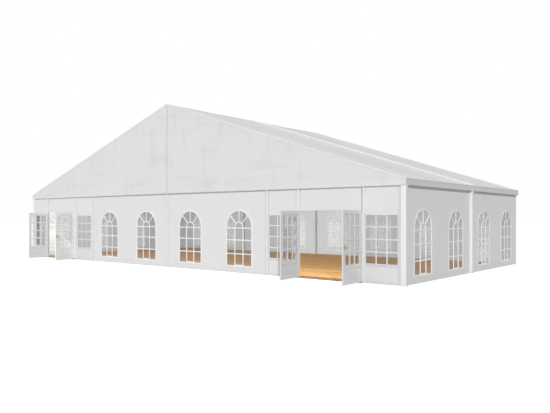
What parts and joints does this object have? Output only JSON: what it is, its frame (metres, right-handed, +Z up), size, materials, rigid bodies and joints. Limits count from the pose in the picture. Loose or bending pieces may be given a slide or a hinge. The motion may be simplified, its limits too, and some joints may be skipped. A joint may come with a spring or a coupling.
{
  "type": "marquee tent",
  "caption": "White clear-span marquee with a pitched fabric roof, arched windows in panel walls, doors between sidelights and a board floor.",
  "frame": {"origin": "on the ground in the middle of the tent's footprint, under the floor", "axes": "+X to the right along the front gable, -Y out through the doors, +Z up"},
  "size_m": [20, 11.1578, 6.2492],
  "materials": {
    "roof_fabric": "white PVC-coated polyester, satin, softly wrinkled between the rafters",
    "gable_fabric": "white PVC-coated polyester, satin, with faint creases",
    "wall_panel": "white wall panels with white-framed windows",
    "frame_aluminium": "aluminium box profiles, white powder coat",
    "window_film": "clear window film, slightly grey",
    "door_glass": "clear door glazing",
    "door_profile": "white door profiles with a recessed kick panel",
    "door_handle": "dark grey lever handles",
    "floor_boards": "warm orange-brown boards, satin"
  },
  "bodies": {
    "root": {"board_floor": "floor_boards", "front_frame": "frame_aluminium", "front_gable_frame": "frame_aluminium", "front_left_arched_panel": "wall_panel", "front_left_eave_purlin": "frame_aluminium", "front_left_gable_fabric": "gable_fabric", "front_left_roof_purlin": "frame_aluminium", "front_ridge_purlin": "frame_aluminium", "front_right_arched_panel": "wall_panel", "front_right_eave_purlin": "frame_aluminium", "front_right_gable_fabric": "gable_fabric", "front_right_roof_purlin": "frame_aluminium", "front_roof_cover": "roof_fabric", "front_window_film": "window_film", "left_door_header_panel": "wall_panel", "left_door_inner_sidelight": "wall_panel", "left_door_outer_sidelight": "wall_panel", "left_fascia": "frame_aluminium", "left_front_wall": "wall_panel", "left_front_wall_film": "window_film", "left_rear_wall": "wall_panel", "left_rear_wall_film": "window_film", "middle_frame": "frame_aluminium", "rear_far_left_panel": "wall_panel", "rear_far_right_panel": "wall_panel", "rear_frame": "frame_aluminium", "rear_gable_frame": "frame_aluminium", "rear_left_eave_purlin": "frame_aluminium", "rear_left_gable_fabric": "gable_fabric", "rear_left_panel": "wall_panel", "rear_left_roof_purlin": "frame_aluminium", "rear_ridge_purlin": "frame_aluminium", "rear_right_eave_purlin": "frame_aluminium", "rear_right_gable_fabric": "gable_fabric", "rear_right_panel": "wall_panel", "rear_right_roof_purlin": "frame_aluminium", "rear_roof_cover": "roof_fabric", "rear_window_film": "window_film", "right_door_header_panel": "wall_panel", "right_door_inner_sidelight": "wall_panel", "right_door_outer_sidelight": "wall_panel", "right_fascia": "frame_aluminium", "right_front_wall": "wall_panel", "right_front_wall_film": "window_film", "right_rear_wall": "wall_panel", "right_rear_wall_film": "window_film"},
    "left_door_left_leaf": {"left_door_left_leaf": "door_profile", "left_door_left_leaf_glass": "door_glass"},
    "left_door_right_leaf": {"left_door_right_leaf": "door_profile", "left_door_right_leaf_glass": "door_glass", "left_door_right_leaf_handle": "door_handle"},
    "right_door_left_leaf": {"right_door_left_leaf": "door_profile", "right_door_left_leaf_glass": "door_glass"},
    "right_door_right_leaf": {"right_door_right_leaf": "door_profile", "right_door_right_leaf_glass": "door_glass", "right_door_right_leaf_handle": "door_handle"}
  },
  "joints": [
    {"name": "left_door_left_hinge", "type": "hinge", "parent": "root", "child": "left_door_left_leaf", "pos_m": [-8.617, -5.0017, 1.05], "axis": [0, 0, -1], "range_deg": [-75, 40]},
    {"name": "left_door_right_hinge", "type": "hinge", "parent": "root", "child": "left_door_right_leaf", "pos_m": [-6.298, -5.0017, 1.05], "axis": [0, 0, 1], "range_deg": [-107, 8]},
    {"name": "right_door_left_hinge", "type": "hinge", "parent": "root", "child": "right_door_left_leaf", "pos_m": [6.298, -5.0017, 1.05], "axis": [0, 0, -1], "range_deg": [-82, 33]},
    {"name": "right_door_right_hinge", "type": "hinge", "parent": "root", "child": "right_door_right_leaf", "pos_m": [8.617, -5.0017, 1.05], "axis": [0, 0, 1], "range_deg": [-95, 20]}
  ]
}
